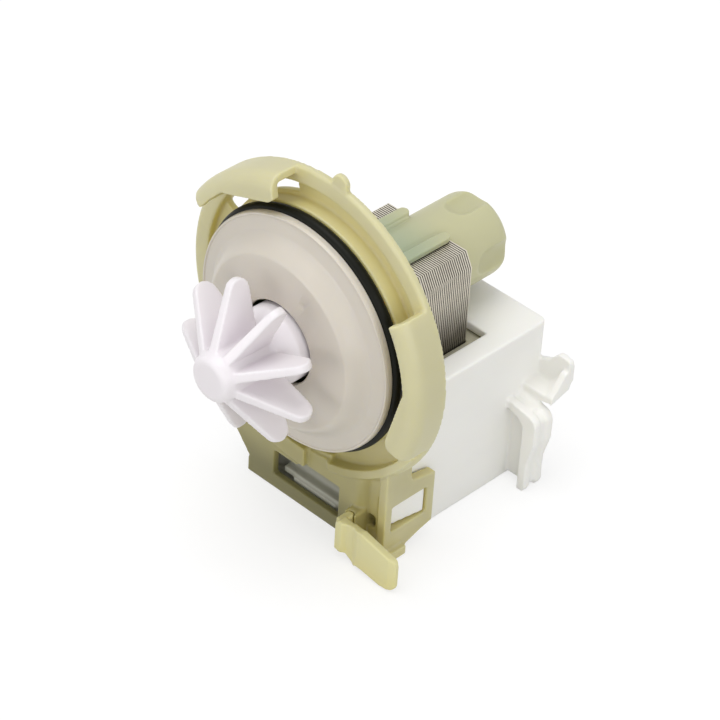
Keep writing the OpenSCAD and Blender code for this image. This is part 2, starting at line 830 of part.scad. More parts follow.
// Rubber seat that holds the rear bearing in the can
module rear_bearing_seat() {
    color("#26282a")
    revolved() polygon([
        [bearing_r + fit, rear_bearing_y], [pocket_r - fit, rear_bearing_y], [pocket_r - fit, seat_end_y],
        [shaft_r + 1, seat_end_y], [shaft_r + 1, rear_bearing_y + bearing_len + fit],
        [bearing_r + fit, rear_bearing_y + bearing_len + fit]
    ]);
}

// Laminated U core: two legs with poles around the can, joined by a yoke
module stator_core() {
    chamfer_x = 2;
    chamfer_z = 3.8;
    pole_gap_x = 2.3;
    top_angle = asin(core_top_z / pole_r);
    low_angle = acos(pole_gap_x / pole_r);
    right = concat(
        [[core_half_w, yoke_z], [core_half_w, core_top_z - chamfer_z], [core_half_w - chamfer_x, core_top_z]],
        arc_points(0, 0, pole_r, top_angle, -low_angle, 12),
        [[pole_gap_x, pole_foot_z], [leg_in_x, pole_foot_z], [leg_in_x, yoke_top_z]]
    );
    left = [for (i = [len(right) - 1:-1:0]) [-right[i][0], right[i][1]]];
    color("#8f8b84")
    along_y(core_front_y, core_rear_y) polygon(concat(right, left));
}

// A rectangular frame around the right leg, grown by two distances
module leg_frame(inner, outer, from_z, to_z) {
    difference() {
        box([leg_in_x - outer, core_front_y - outer, from_z],
            [core_half_w + outer, core_rear_y + outer, to_z]);
        box([leg_in_x - inner, core_front_y - inner, from_z - past],
            [core_half_w + inner, core_rear_y + inner, to_z + past]);
    }
}

module bobbin() {
    tube_out = leg_fit + bobbin_wall;
    color("#e6e2d2")
    union() {
        leg_frame(leg_fit, tube_out, bobbin_low_z, bobbin_top_z);
        leg_frame(leg_fit, coil_out, bobbin_low_z, bobbin_low_z + bobbin_flange_t);
        leg_frame(leg_fit, coil_out, bobbin_top_z - bobbin_flange_t, bobbin_top_z);
    }
}

module winding() {
    tube_out = leg_fit + bobbin_wall;
    color("#a3501f")
    leg_frame(tube_out + fit, tube_out + winding_t, bobbin_low_z + bobbin_flange_t + fit,
        bobbin_top_z - bobbin_flange_t - fit);
}

module left_bobbin() {
    mirror([1, 0, 0]) bobbin();
}

module right_bobbin() {
    bobbin();
}

module left_winding() {
    mirror([1, 0, 0]) winding();
}

module right_winding() {
    winding();
}

// Outline of the clip's strap seen along the shaft, thinner by a distance on each face
module strap_outline(thinner) {
    in_x = clip_in_x + thinner / 2;
    low_x = clip_low_x - thinner;
    low_z = floor_z + thinner / 2;
    wall_x = block_right_x - past / 2;
    bend_z = clip_top_z - 2 - clip_bend_r;
    polygon(concat(
        [[in_x, low_z], [low_x - 0.4, low_z], [low_x + 0.3, low_z + 1.2], [low_x, floor_z + 5],
         [low_x + 0.3, floor_z + 9], [clip_out_x - thinner, floor_z + 15]],
        arc_points(clip_out_x - clip_bend_r, bend_z + 0.6, clip_bend_r - thinner, 0, 78, 5),
        [[wall_x, clip_top_z - thinner], [wall_x, clip_top_z - 2.4 + thinner / 2],
         [in_x - 1.6, bend_z + 1.2 + thinner / 2], [in_x, bend_z - 0.6]]
    ));
}

// Clip on the block's right side: a strap with a rib along each edge, on a thin web
module side_clip() {
    rib_w = 2.1;
    rib_h = 0.6;
    along_y(clip_front_y, clip_front_y + rib_w) strap_outline(0);
    along_y(clip_rear_y - rib_w, clip_rear_y) strap_outline(0);
    along_y(clip_front_y + inset, clip_rear_y - inset) strap_outline(rib_h);
    // Web between the strap and the wall
    box([block_right_x - past / 2, clip_front_y + rib_w + inset, floor_z + past],
        [clip_in_x + past, clip_rear_y - rib_w - inset, clip_top_z - past]);
}

// Cable pocket behind the clip: a rear plate with a raised corner, a floor and an outer wall
module cable_pocket() {
    wall_x = block_right_x - past / 2;
    inner_y = hook_rear_y - hook_t;
    along_y(inner_y, hook_rear_y)
        polygon(concat(
            [[wall_x, hook_floor_z - hook_t], [hook_out_x - 1.2, hook_floor_z - 0.8],
             [hook_out_x, hook_floor_z + 2]],
            arc_points(hook_out_x - horn_r, hook_top_z - horn_r, horn_r, 0, 70, 4),
            [[hook_out_x - 3, hook_top_z], [hook_out_x - 4, hook_top_z], [hook_out_x - 5.2, hook_top_z - 1.3],
             [hook_out_x - 6.6, hook_top_z - 2.9], [wall_x, hook_top_z - 4.4]]
        ));
    // Outer wall, lower towards the front
    translate([hook_out_x - hook_t, 0, 0]) rotate([90, 0, 90]) linear_extrude(hook_t)
        polygon([
            [hook_front_y, hook_floor_z - hook_t], [inner_y + past, hook_floor_z],
            [inner_y + past, hook_wall_z], [inner_y - past, hook_wall_z],
            [hook_front_y + past, hook_floor_z + past], [hook_front_y, hook_floor_z]
        ]);
    // Floor, from the block's wall to the outer wall
    box([wall_x, hook_front_y, hook_floor_z - hook_t + 0.6],
        [hook_out_x - past, inner_y + past, hook_floor_z]);
}

// Tongue in the front window, on the lower edge of the block, and the rib above it
module front_tongue() {
    box([-5.5, bracket_front_y + bracket_t + seat, floor_z + 1.4], [9, block_front_y + past, tongue_top_z]);
    box([-9.4, bracket_front_y + bracket_t + past, tongue_top_z - past],
        [10.8, block_front_y + past, tongue_top_z + 0.8]);
}

// Side tongue whose barb snaps into the arm's window
module side_tongue() {
    barb_front_y = arm_window_front_y + seat;
    barb_rear_y = arm_window_rear_y - seat;
    box([block_right_x - tongue_t, barb_front_y, tongue_low_z],
        [block_right_x, block_front_y + past, arm_window_top_z + past]);
    translate([0, 0, arm_window_low_z + seat]) linear_extrude(arm_window_top_z - arm_window_low_z - 2 * seat)
        polygon([
            [block_right_x - past / 2, barb_front_y], [block_right_x + 0.8, barb_front_y],
            [block_right_x + barb_h, barb_rear_y], [block_right_x - past / 2, barb_rear_y]
        ]);
}

module terminal_shroud() {
    box([-socket_half_w - socket_wall, socket_floor_y - socket_wall, tab_z - socket_half_h - socket_wall],
        [socket_half_w + socket_wall, block_rear_y - block_wall / 2, tab_z + socket_half_h + socket_wall]);
}

module terminal_socket() {
    box([-socket_half_w, socket_floor_y, tab_z - socket_half_h],
        [socket_half_w, block_rear_y + past, tab_z + socket_half_h]);
    for (side = [-1, 1])
        translate([side * tab_gap / 2, 0, tab_z])
            box([-tab_t / 2 - fit, socket_floor_y - socket_wall - past, -tab_w / 2 - fit],
                [tab_t / 2 + fit, socket_floor_y + past, tab_w / 2 + fit]);
}

// Block around the coils, open below, with a window in its top for each leg
module coil_cover() {
    color("#f4f3ef")
    difference() {
        union() {
            difference() {
                translate([0, 0, floor_z]) linear_extrude(block_top_z - floor_z)
                    rounded_rectangle([block_left_x, block_front_y], [block_right_x, block_rear_y],
                        block_round_r);
                box([block_left_x + block_wall, inner_front_y, floor_z - past],
                    [block_right_x - block_wall, inner_rear_y, roof_z]);
            }
            terminal_shroud();
            side_clip();
            cable_pocket();
            front_tongue();
            side_tongue();
        }
        for (side = [0, 1])
            mirror([side, 0, 0])
                box([leg_in_x - leg_window_gap, core_front_y - leg_window_gap, roof_z - past],
                    [core_half_w + leg_window_gap, core_rear_y + leg_window_gap, block_top_z + past]);
        terminal_socket();
    }
}

// Plate that closes the block from below
module coil_base() {
    color("#eceae4")
    box([block_left_x + block_wall + 0.1, inner_front_y + 0.1, floor_z],
        [block_right_x - block_wall - 0.1, inner_rear_y - 0.1, base_top_z]);
}

module terminal_tabs() {
    point_len = 1.4;
    point_half_w = tab_w / 2 - 1;
    eye_r = 0.8;
    color("#c9c6bd")
    for (side = [-1, 1])
        translate([side * tab_gap / 2 - tab_t / 2, 0, tab_z]) rotate([90, 0, 90]) linear_extrude(tab_t)
            difference() {
                polygon([
                    [tab_front_y, -tab_w / 2], [tab_rear_y - point_len, -tab_w / 2],
                    [tab_rear_y, -point_half_w], [tab_rear_y, point_half_w],
                    [tab_rear_y - point_len, tab_w / 2], [tab_front_y, tab_w / 2]
                ]);
                translate([tab_rear_y - 3 * point_len, 0]) circle(r = eye_r);
            }
}

// Fuse that lies against the rear of the right winding
module thermal_fuse() {
    color("#d9b26a")
    translate([fuse_x, fuse_y, tab_z - fuse_len / 2]) cylinder(r = fuse_r, h = fuse_len, $fn = 48);
}

// Wire ends: from the left winding and from the fuse towards the tabs, and between the windings
module coil_leads() {
    from_x = -leg_in_x - 4;
    color("#b5652b") {
        lead([from_x, lead_y, tab_z], "x", -from_x - tab_gap / 2 - tab_t / 2 - fit);
        lead([fuse_x, fuse_y, tab_z + fuse_len / 2 + fit], "z", 3);
        lead([from_x, lead_y, bobbin_low_z + 4], "x", -2 * from_x);
    }
}

flange_housing();
release_latch();
wet_end_cover();
seal_ring();
rotor_can();
impeller();
impeller_rear_cap();
rotor_shaft();
rotor_magnet();
rotor_sleeve();
drive_dog();
drive_damper();
thrust_washers();
front_bearing();
front_bearing_carrier();
rear_bearing();
rear_bearing_seat();
stator_core();
left_bobbin();
right_bobbin();
left_winding();
right_winding();
coil_cover();
coil_base();
terminal_tabs();
thermal_fuse();
coil_leads();
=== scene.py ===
import math

import bmesh
import bpy
from mathutils import Matrix, Vector


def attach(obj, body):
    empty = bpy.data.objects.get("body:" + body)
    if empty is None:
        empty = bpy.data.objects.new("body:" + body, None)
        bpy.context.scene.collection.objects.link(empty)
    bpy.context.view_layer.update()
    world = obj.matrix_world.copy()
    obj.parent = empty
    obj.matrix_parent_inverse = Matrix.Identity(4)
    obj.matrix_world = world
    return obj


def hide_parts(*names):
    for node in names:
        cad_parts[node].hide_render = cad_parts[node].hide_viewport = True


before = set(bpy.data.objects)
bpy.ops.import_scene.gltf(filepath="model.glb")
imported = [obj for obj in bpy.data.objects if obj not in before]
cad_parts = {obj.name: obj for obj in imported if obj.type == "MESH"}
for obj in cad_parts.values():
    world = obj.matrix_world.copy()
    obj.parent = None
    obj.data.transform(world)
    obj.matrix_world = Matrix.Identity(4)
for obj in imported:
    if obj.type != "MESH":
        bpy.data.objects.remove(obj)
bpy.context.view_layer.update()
scene = bpy.context.scene
scene.view_settings.view_transform = "Standard"
mm = 0.001
weldGap = 0.002 * mm    # corners closer than this become one
mouldingAngle = 70      # a rounded moulding shades smooth below this angle
print("frame loaded:", len(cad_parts), "nodes")


def tint(red, green, blue):
    # a screen colour from 0 to 255, as the shader's linear colour
    def linear(level):
        level /= 255
        return level / 12.92 if level <= 0.04045 else ((level + 0.055) / 1.055) ** 2.4
    return (linear(red), linear(green), linear(blue), 1.0)


class Field:
    # a number that changes over a surface, with ordinary arithmetic
    def __init__(self, shading, socket):
        self.shading, self.socket = shading, socket

    def __add__(self, other):
        return self.shading.maths("ADD", self, other)

    def __radd__(self, other):
        return self.shading.maths("ADD", other, self)

    def __sub__(self, other):
        return self.shading.maths("SUBTRACT", self, other)

    def __rsub__(self, other):
        return self.shading.maths("SUBTRACT", other, self)

    def __mul__(self, other):
        return self.shading.maths("MULTIPLY", self, other)

    def __rmul__(self, other):
        return self.shading.maths("MULTIPLY", other, self)


class Shading:
    # the nodes of a material, or of the world
    def __init__(self, owner):
        owner.use_nodes = True
        self.owner, self.tree = owner, owner.node_tree
        self.tree.nodes.clear()

    def node(self, kind, settings=None, inputs=None, output=0):
        # settings come first, then the values or links of the sockets
        made = self.tree.nodes.new(kind)
        for name, value in (settings or {}).items():
            setattr(made, name, value)
        for key, value in (inputs or {}).items():
            if isinstance(value, Field):
                self.tree.links.new(value.socket, made.inputs[key])
            else:
                made.inputs[key].default_value = value
        return Field(self, made.outputs[output]) if made.outputs else None

    def maths(self, operation, first, second=0.0, clamp=False):
        return self.node("ShaderNodeMath", {"operation": operation, "use_clamp": clamp},
                         {0: first, 1: second})

    def mixed(self, amount, first, second, blend="MIX"):
        return self.node("ShaderNodeMix", {"data_type": "RGBA", "blend_type": blend},
                         {0: amount, 6: first, 7: second}, 2)

    def ranged(self, value, low, high, toLow=0.0, toHigh=1.0):
        # a soft step of a value from low to high
        return self.node("ShaderNodeMapRange", {"interpolation_type": "SMOOTHSTEP"},
                         {0: value, 1: low, 2: high, 3: toLow, 4: toHigh})

    def place(self):
        # where a point lies on its piece
        return self.node("ShaderNodeTexCoord", output="Object")

    def axes(self):
        split = self.node("ShaderNodeSeparateXYZ", None, {0: self.place()})
        return [Field(self, socket) for socket in split.socket.node.outputs]

    def noise(self, size, detail=2.0, stretch=(1, 1, 1)):
        # noise whose features measure about that many metres
        where = self.place()
        if stretch != (1, 1, 1):
            where = self.node("ShaderNodeMapping", None, {"Vector": where, "Scale": stretch})
        return self.node("ShaderNodeTexNoise", None,
                         {"Vector": where, "Scale": 1 / size, "Detail": detail, "Roughness": 0.55})

    def openness(self, reach):
        # 1 where the surface lies open, less in hollows narrower than the reach
        return self.node("ShaderNodeAmbientOcclusion", {"samples": 8}, {"Distance": reach}, "AO")

    def bump(self, height, distance, strength, base=None):
        inputs = {"Height": height, "Distance": distance, "Strength": strength}
        if base:
            inputs["Normal"] = base
        return self.node("ShaderNodeBump", None, inputs)

    def shaded(self, colour, shade):
        # a colour times a number
        grey = self.node("ShaderNodeCombineColor", None, {0: shade, 1: shade, 2: shade})
        return self.mixed(1.0, colour, grey, "MULTIPLY")

    def shadeToned(self, colour, shadeTones, wobble):
        # lays each tone over a colour, with a share that rises from start to end on its axes;
        # each tone is painted shade, and on the can partly its own tint
        for tone, share, fades in shadeTones:
            for axis, start, end in fades:
                share = share * self.ranged(self.axes()[axis] + wobble, start, end)
            colour = self.mixed(share, colour, tint(*tone))
        return colour

    def rays(self, *kinds):
        # 1 for light paths of these kinds, 0 for the others
        found = 0.0
        for kind in kinds:
            ray = self.node("ShaderNodeLightPath", output=kind)
            found = self.maths("ADD", found, ray, clamp=True)
        return found

    def surface(self, inputs):
        shader = self.node("ShaderNodeBsdfPrincipled", None, inputs)
        self.node("ShaderNodeOutputMaterial", None, {"Surface": shader})
        return self.owner


# what each kind of finish starts from, unless a look says otherwise; sizes in metres
plasticBasis = {"reach": 0.008, "hollow": 1.0, "inner": 0.15, "bleed": (1.0, 0.8, 0.4),
                "depth": 0.003, "shadeTones": (), "wobble": 0.006,
                "cloudSize": 0.018, "cloud": 0.12, "cloudRough": 0.12,
                "flowSize": 0.006, "flowStretch": (1.0, 0.35, 1.0), "flow": 0.05,
                "ripple": 0.25, "rippleHeight": 0.0002,
                "grainSize": 0.00035, "grain": 0.35, "grainHeight": 0.00002, "grainRough": 0.08}
steelBasis = {"shadeTones": (), "wobble": 0.008, "patchSize": 0.006, "patchRough": 0.2,
              "streakSize": 0.0009, "streak": 0.5, "streakRough": 0.15,
              "scratch": 0.4, "scratchHeight": 0.00002}
rubberBasis = {"bloomSize": 0.004, "bloomRough": 0.2, "gloss": 0.12,
               "grainSize": 0.0003, "grain": 0.4, "grainHeight": 0.00002}
# the winding's colour in its grooves is painted shade
wireBasis = {"patchSize": 0.005, "patchRough": 0.15, "between": (60, 22, 8),
             "ridgeHeight": 0.0001, "metal": 0.6, "varnish": 0.4}


def mouldedPlastic(name, look):
    # moulded plastic: faint flow marks, fine texture, and painted shade, a deeper colour in
    # hollows
    look = {**plasticBasis, **look}
    shading = Shading(bpy.data.materials.new(name))
    cloud = shading.noise(look["cloudSize"], 3.0)
    flow = shading.noise(look["flowSize"], 2.0, look["flowStretch"])
    grain = shading.noise(look["grainSize"], 1.0)
    # painted shade: in hollows found by ambient occlusion, the colour turns to the shade colour,
    # with random cloud
    hollow = ((1 - shading.openness(look["reach"])) * look["hollow"]
              + (cloud - 0.5) * look["cloud"])
    amount = shading.maths("ADD", hollow, 0.0, clamp=True)
    colour = shading.mixed(amount, tint(*look["light"]), tint(*look["shadeColour"]))
    colour = shading.shadeToned(colour, look["shadeTones"], (cloud - 0.5) * look["wobble"])
    colour = shading.shaded(colour, (flow - 0.5) * look["flow"] + 1.0)
    rough = (look["rough"] + (cloud - 0.5) * look["cloudRough"]
             + (grain - 0.5) * look["grainRough"])
    normal = shading.bump(grain, look["grainHeight"], look["grain"])
    normal = shading.bump(flow, look["rippleHeight"], look["ripple"], normal)
    return shading.surface({
        "Base Color": colour, "Roughness": rough, "Normal": normal, "IOR": 1.5,
        "Subsurface Weight": look["inner"], "Subsurface Scale": look["depth"],
        "Subsurface Radius": look["bleed"]})


def steelSheet(name, look):
    # rolled sheet steel: streaks along the roll, dull patches, a warm tinge, and painted shade
    # where a look asks for it
    look = {**steelBasis, **look}
    shading = Shading(bpy.data.materials.new(name))
    streak = shading.noise(look["streakSize"], 3.0, look["stretch"])
    patch = shading.noise(look["patchSize"], 3.0)
    colour = shading.mixed(patch, tint(*look["light"]), tint(*look["dark"]))
    colour = shading.shaded(colour, (streak - 0.5) * look["streak"] + 1.0)
    colour = shading.shadeToned(colour, look["shadeTones"], (patch - 0.5) * look["wobble"])
    # painted shade: where sheets lie close together, ambient occlusion turns the colour dark
    if "gap" in look:
        gapShadeShare = shading.ranged(shading.openness(look["gap"]), *look["gapOpenness"], 1.0, 0.0)
        colour = shading.mixed(gapShadeShare, colour, tint(*look["gapShade"]))
    rough = (look["rough"] + (patch - 0.5) * look["patchRough"]
             + (streak - 0.5) * look["streakRough"])
    normal = shading.bump(streak, look["scratchHeight"], look["scratch"])
    return shading.surface({"Base Color": colour, "Roughness": rough, "Normal": normal,
                            "Metallic": look["metal"]})


def blackRubber(name, look):
    # pressed rubber with a faint bloom
    look = {**rubberBasis, **look}
    shading = Shading(bpy.data.materials.new(name))
    bloom = shading.noise(look["bloomSize"], 4.0)
    grain = shading.noise(look["grainSize"], 2.0)
    colour = shading.mixed(bloom, tint(*look["dark"]), tint(*look["bloom"]))
    rough = look["rough"] + (bloom - 0.5) * look["bloomRough"]
    normal = shading.bump(grain, look["grainHeight"], look["grain"])
    return shading.surface({"Base Color": colour, "Roughness": rough, "Normal": normal,
                            "Specular IOR Level": look["gloss"]})


def enamelWire(name, look):
    # enamelled copper, with the turns as fine ridges along the height and painted shade in the
    # grooves
    look = {**wireBasis, **look}
    shading = Shading(bpy.data.materials.new(name))
    height = shading.axes()[2]
    turn = shading.maths("SINE", height * (2 * math.pi / look["pitch"])) * 0.5 + 0.5
    patch = shading.noise(look["patchSize"], 2.0)
    colour = shading.mixed(patch, tint(*look["light"]), tint(*look["dark"]))
    # painted shade in the grooves of the winding
    colour = shading.mixed((1 - turn) * look["groove"], colour, tint(*look["between"]))
    rough = look["rough"] + (patch - 0.5) * look["patchRough"]
    normal = shading.bump(turn, look["ridgeHeight"], look["groove"])
    return shading.surface({"Base Color": colour, "Roughness": rough, "Normal": normal,
                            "Metallic": look["metal"], "Coat Weight": look["varnish"]})


def mergedMesh(nodeName):
    # a copy of a CAD mesh with its triangles joined
    bm = bmesh.new()
    bm.from_mesh(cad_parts[nodeName].data)
    bmesh.ops.remove_doubles(bm, verts=bm.verts, dist=weldGap)
    return bm


def addPrism(bm, start, end, outline, endOutline=None):
    # adds a prism along Y to a mesh, from its outline in X and Z at each end
    rows = [[bm.verts.new((x * mm, y * mm, z * mm)) for x, z in points]
            for y, points in ((start, outline), (end, endOutline or outline))]
    faces = [bm.faces.new(rows[0]), bm.faces.new(list(reversed(rows[1])))]
    for i in range(len(outline)):
        j = (i + 1) % len(outline)
        faces.append(bm.faces.new((rows[0][j], rows[0][i], rows[1][i], rows[1][j])))
    bmesh.ops.recalc_face_normals(bm, faces=faces)


def meshObject(name, bm):
    mesh = bpy.data.meshes.new(name)
    bm.to_mesh(mesh)
    bm.free()
    made = bpy.data.objects.new(name, mesh)
    scene.collection.objects.link(made)
    return made


def finished(made, material, smoothAngle=32):
    # applies the modifiers, so that the piece is a plain mesh with its own material
    evaluated = made.evaluated_get(bpy.context.evaluated_depsgraph_get())
    mesh = bpy.data.meshes.new_from_object(evaluated)
    made.modifiers.clear()
    made.data = mesh
    mesh.name = made.name
    mesh.materials.clear()
    mesh.materials.append(material)
    mesh.polygons.foreach_set("material_index", [0] * len(mesh.polygons))
    mesh.shade_smooth()
    mesh.set_sharp_from_angle(angle=math.radians(smoothAngle))


def softened(made, voxel, passes, keep):
    # rounds every edge and inner corner a little, as a mould does
    remesh = made.modifiers.new("Remesh", "REMESH")
    remesh.mode, remesh.voxel_size = "VOXEL", voxel
    soften = made.modifiers.new("Soften", "SMOOTH")
    soften.factor, soften.iterations = 0.5, passes
    thin = made.modifiers.new("Thin", "DECIMATE")
    thin.ratio = keep


def combined(target, others, operation="UNION"):
    # joins the others to the target, or cuts them out of it
    for other in others:
        change = target.modifiers.new("Combine", "BOOLEAN")
        change.operation, change.object, change.solver = operation, other, "EXACT"


def placed(piece, body, slotName, *nodes):
    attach(piece, body)
    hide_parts(*nodes)


def lathe(points, segments):
    # turns a closed outline of (radius, place along the shaft), in mm, about the shaft
    bm = bmesh.new()
    rings = []
    for radius, place in points:
        radius, place = radius * mm, place * mm
        if radius == 0:    # on the axis, one corner closes the pole
            rings.append([bm.verts.new((0, place, 0))])
            continue
        rings.append([bm.verts.new((radius * math.cos(turn), place, radius * math.sin(turn)))
                      for turn in (2 * math.pi * i / segments for i in range(segments))])
    for first, second in zip(rings, rings[1:] + rings[:1]):
        for i in range(segments):
            j = (i + 1) % segments
            corners = []
            for vert in (first[i % len(first)], first[j % len(first)],
                         second[j % len(second)], second[i % len(second)]):
                if vert not in corners:
                    corners.append(vert)
            if len(corners) > 2:
                bm.faces.new(corners)
    bmesh.ops.recalc_face_normals(bm, faces=bm.faces)
    return bm


def rounded(points, steps=4):
    # rounds the corners of a closed outline whose points are (x, y, radius)
    shape = []
    for i, (x, y, radius) in enumerate(points):
        here = Vector((x, y))
        before = Vector(points[i - 1][:2]) - here
        after = Vector(points[(i + 1) % len(points)][:2]) - here
        if radius <= 0:
            shape.append((x, y))
            continue
        angle = before.angle(after)
        most = 0.49 * min(before.length, after.length)    # two corners share a side
        reach = min(radius / math.tan(angle / 2), most)
        start, end = here + before.normalized() * reach, here + after.normalized() * reach
        for k in range(steps + 1):
            t = k / steps
            point = start * (1 - t) ** 2 + here * 2 * t * (1 - t) + end * t ** 2
            shape.append((point.x, point.y))
    return shape


def plug(name, radius, start, end, segments):
    # a plain round plug about the shaft, to cut with
    return meshObject(name, lathe([(0, start), (radius, start), (radius, end), (0, end)],
                                  segments))


def geometryTree(name, sockets):
    # a node tree with named inputs: returns it, its input node and a maker of nodes
    tree = bpy.data.node_groups.new(name, "GeometryNodeTree")
    tree.interface.new_socket("Geometry", in_out="INPUT", socket_type="NodeSocketGeometry")
    for label, kind in sockets:
        tree.interface.new_socket(label, in_out="INPUT", socket_type="NodeSocket" + kind)
    tree.interface.new_socket("Geometry", in_out="OUTPUT", socket_type="NodeSocketGeometry")
    given = tree.nodes.new("NodeGroupInput")

    def step(kind, settings=None, inputs=None):
        made = tree.nodes.new(kind)
        for key, value in (settings or {}).items():
            setattr(made, key, value)
        for key, value in (inputs or {}).items():
            if isinstance(value, bpy.types.NodeSocket):
                tree.links.new(value, made.inputs[key])
            else:
                made.inputs[key].default_value = value
        return made
    return tree, given, step


def closeTree(step, given, last):
    # makes the copies real and gives them their finish
    real = step("GeometryNodeRealizeInstances", None, {0: last})
    dressed = step("GeometryNodeSetMaterial", None,
                   {"Geometry": real.outputs[0], "Material": given.outputs["Material"]})
    step("NodeGroupOutput", None, {0: dressed.outputs[0]})


def runTree(made, tree, values):
    # gives the modifier its inputs by identifier, before anything is evaluated
    modifier = made.modifiers.new(tree.name, "NODES")
    modifier.node_group = tree
    for item in tree.interface.items_tree:
        if item.in_out == "INPUT" and item.name in values:
            modifier[item.identifier] = values[item.name]


# light is the plastic's own screen colour, the second is painted shade in hollows; a tone of
# painted shade is a colour, its share, and its fades as axis, start and end
# painted light: in hollows the housing takes a bright saturated yellow, the bounce light that
# glows in its narrow channel round the seal
housingLook = {"light": (205, 200, 162), "shadeColour": (226, 212, 134), "rough": 0.42, "hollow": 0.85,
               "reach": 0.012, "inner": 0.5, "bleed": (1.0, 0.95, 0.4),
               # painted shade: the lower bracket turns darker and olive towards its bottom left,
               # where ring, cover and impeller shade it
               "shadeTones": [((150, 138, 70), 0.35, ((2, -22 * mm, -32 * mm), (0, 30 * mm, 25 * mm))),
                         ((146, 138, 80), 0.55, ((2, -28 * mm, -38 * mm), (0, 24 * mm, 18 * mm))),
                         ((70, 70, 34), 0.6, ((2, -39 * mm, -52 * mm), (0, 19 * mm, 11 * mm)))]}
latchLook = {"light": (217, 211, 160), "shadeColour": (214, 198, 112), "rough": 0.4, "hollow": 0.8,
             "reach": 0.008, "inner": 0.3, "bleed": (1.0, 0.95, 0.4)}
coverLook = {"light": (206, 199, 188), "shadeColour": (184, 174, 158), "rough": 0.36, "hollow": 0.5,
             "inner": 0.25, "flow": 0.04}
canLook = {"light": (196, 194, 156), "shadeColour": (158, 154, 100), "rough": 0.4, "hollow": 0.6,
           "inner": 0.3, "bleed": (0.95, 1.0, 0.5),
           # partly the can's own greener plastic, partly painted shade: greener and darker towards
           # the ring
           "shadeTones": [((162, 174, 146), 0.9, ((1, 46 * mm, 30 * mm),))]}
impellerLook = {"light": (236, 231, 235), "shadeColour": (216, 209, 214), "rough": 0.38, "hollow": 0.5,
                "reach": 0.006, "inner": 0.3, "bleed": (1.0, 0.95, 1.0), "flow": 0.03}
blockLook = {"light": (246, 245, 241), "shadeColour": (220, 220, 214), "rough": 0.45, "hollow": 0.3,
             "inner": 0.1, "flow": 0.03,
             # painted shade: the block's front tongue turns dark low on the left, where it lies in
             # shade behind the bracket's window
             "shadeTones": [((128, 128, 104), 0.75, ((1, 18 * mm, 15 * mm), (2, -40 * mm, -44 * mm),
                                              (0, 20 * mm, 14 * mm)))]}
bobbinLook = {"light": (224, 220, 200), "shadeColour": (150, 144, 118), "rough": 0.5}
carrierLook = {"light": (214, 211, 200), "shadeColour": (150, 146, 130), "rough": 0.5}
darkLook = {"light": (96, 99, 102), "shadeColour": (50, 52, 54), "rough": 0.5}
washerLook = {"light": (196, 168, 112), "shadeColour": (130, 104, 60), "rough": 0.45}
fuseLook = {"light": (214, 178, 104), "shadeColour": (150, 116, 60), "rough": 0.4}
sheetLook = {"light": (244, 238, 222), "dark": (206, 198, 184), "rough": 0.42, "metal": 0.6,
             # painted shade where the sheets lie close together
             "stretch": (1, 6, 0.3), "gap": 0.5 * mm, "gapOpenness": (0.35, 0.8),
             "gapShade": (38, 34, 28),
             # painted shade: the sheets turn darker towards the bottom, darkest low on the yoke,
             # where the block's recess shades them
             "shadeTones": [((66, 62, 50), 0.7, ((2, 2 * mm, -14 * mm),)),
                       ((30, 28, 22), 0.85, ((2, -20 * mm, -28 * mm),))]}
shaftLook = {"light": (196, 197, 199), "dark": (150, 152, 155), "rough": 0.25, "metal": 1.0,
             "stretch": (1, 6, 1)}
tabLook = {"light": (206, 202, 192), "dark": (160, 156, 146), "rough": 0.3, "metal": 1.0,
           "stretch": (1, 0.3, 4)}
bearingLook = {"light": (84, 84, 88), "dark": (50, 50, 54), "rough": 0.5, "metal": 0.3,
               "stretch": (1, 1, 1)}
magnetLook = {"light": (70, 70, 73), "dark": (44, 44, 47), "rough": 0.6, "metal": 0.2,
              "stretch": (1, 1, 1)}
sealLook = {"dark": (17, 18, 14), "bloom": (27, 28, 22), "rough": 0.42}
rubberLook = {"dark": (28, 28, 28), "bloom": (48, 48, 46), "rough": 0.55}
windingLook = {"light": (196, 96, 44), "dark": (140, 58, 22), "rough": 0.3,
               "pitch": 0.45 * mm, "groove": 0.5}
leadLook = {"light": (206, 116, 60), "dark": (160, 78, 34), "rough": 0.3,
            "pitch": 1.0 * mm, "groove": 0.0}

finishes = {
    "housing": mouldedPlastic("creamHousing", housingLook),
    "latch": mouldedPlastic("creamLatch", latchLook),
    "cover": mouldedPlastic("warmWhiteCover", coverLook),
    "can": mouldedPlastic("greenishCan", canLook),
    "impeller": mouldedPlastic("whiteImpeller", impellerLook),
    "block": mouldedPlastic("whiteBlock", blockLook),
    "bobbin": mouldedPlastic("bobbinPlastic", bobbinLook),
    "carrier": mouldedPlastic("carrierPlastic", carrierLook),
    "dark": mouldedPlastic("darkPlastic", darkLook),
    "washer": mouldedPlastic("washerPlastic", washerLook),
    "fuse": mouldedPlastic("fuseBody", fuseLook),
    "sheet": steelSheet("coreSheet", sheetLook),
    "shaft": steelSheet("groundShaft", shaftLook),
    "tab": steelSheet("tinnedTab", tabLook),
    "bearing": steelSheet("sinteredBearing", bearingLook),
    "magnet": steelSheet("ferriteMagnet", magnetLook),
    "seal": blackRubber("sealRubber", sealLook),
    "rubber": blackRubber("padRubber", rubberLook),
    "winding": enamelWire("windingWire", windingLook),
    "lead": enamelWire("leadWire", leadLook),
}
print("materials made:", len(finishes))


